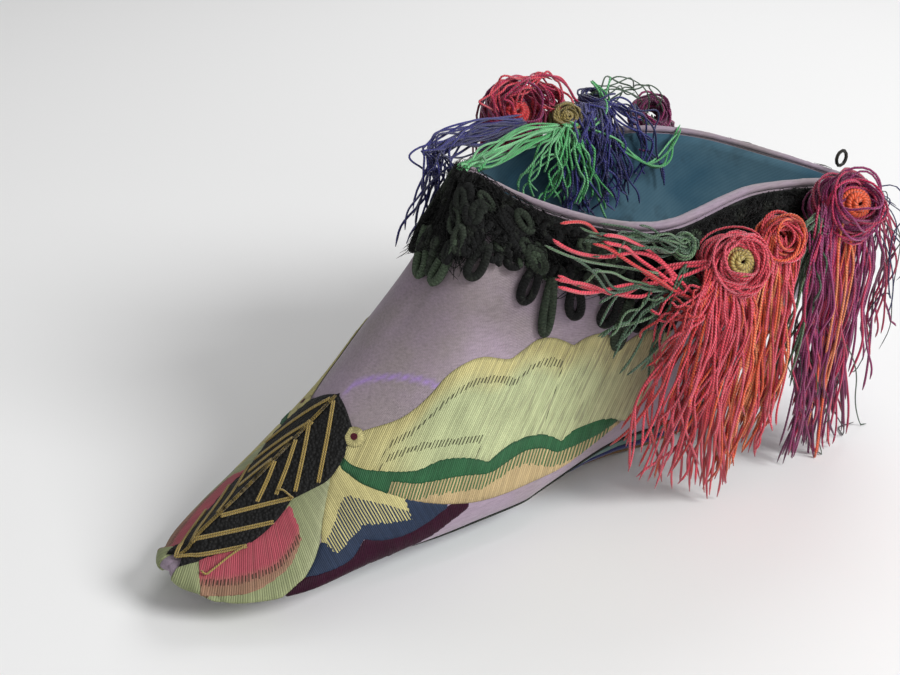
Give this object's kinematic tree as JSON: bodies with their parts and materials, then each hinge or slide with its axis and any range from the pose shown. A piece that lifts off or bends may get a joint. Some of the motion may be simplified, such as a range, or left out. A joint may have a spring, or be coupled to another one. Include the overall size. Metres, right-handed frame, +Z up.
{
  "type": "embroidered lotus shoe",
  "caption": "Small pointed folk shoe of satin on a thin layered sole, embroidered, with a braided collar hung with silk tassels.",
  "frame": {"origin": "under the heel, where the sole rests on the floor", "axes": "+X from heel to toe, +Y to the wearer's left, +Z up"},
  "size_m": [0.1696, 0.0734, 0.0655],
  "materials": {
    "satin": "lilac silk satin, worn",
    "sole_leather": "brown sole leather, matt",
    "navy_cloth": "navy cloth cover",
    "teal_cloth": "teal cloth cover",
    "lining_cloth": "blue twill cotton",
    "black_silk": "black knotted silk, matt",
    "black_braid": "black plaited cord, fuzzy",
    "dark_wire": "dark thread-wound wire",
    "coral_silk": "twisted silk thread",
    "orange_silk": "twisted silk thread",
    "magenta_silk": "twisted silk thread",
    "dark_green_silk": "twisted silk thread",
    "crimson_silk": "twisted silk thread",
    "bright_green_silk": "twisted silk thread",
    "deep_blue_silk": "twisted silk thread"
  },
  "bodies": {
    "root": {"upper": "satin", "outsole": "sole_leather", "sole_navy": "navy_cloth", "sole_teal": "teal_cloth", "insole": "lining_cloth", "toe_panel": "black_silk", "collar_binding": "satin", "collar_braid": "black_braid", "back_hook": "dark_wire", "tassel_coral": "coral_silk", "tassel_orange": "orange_silk", "tassel_magenta": "magenta_silk", "tassel_dark_green": "dark_green_silk", "tassel_crimson": "crimson_silk", "tassel_bright_green": "bright_green_silk", "tassel_deep_blue": "deep_blue_silk", "tassel_far_magenta": "magenta_silk"}
  },
  "joints": []
}
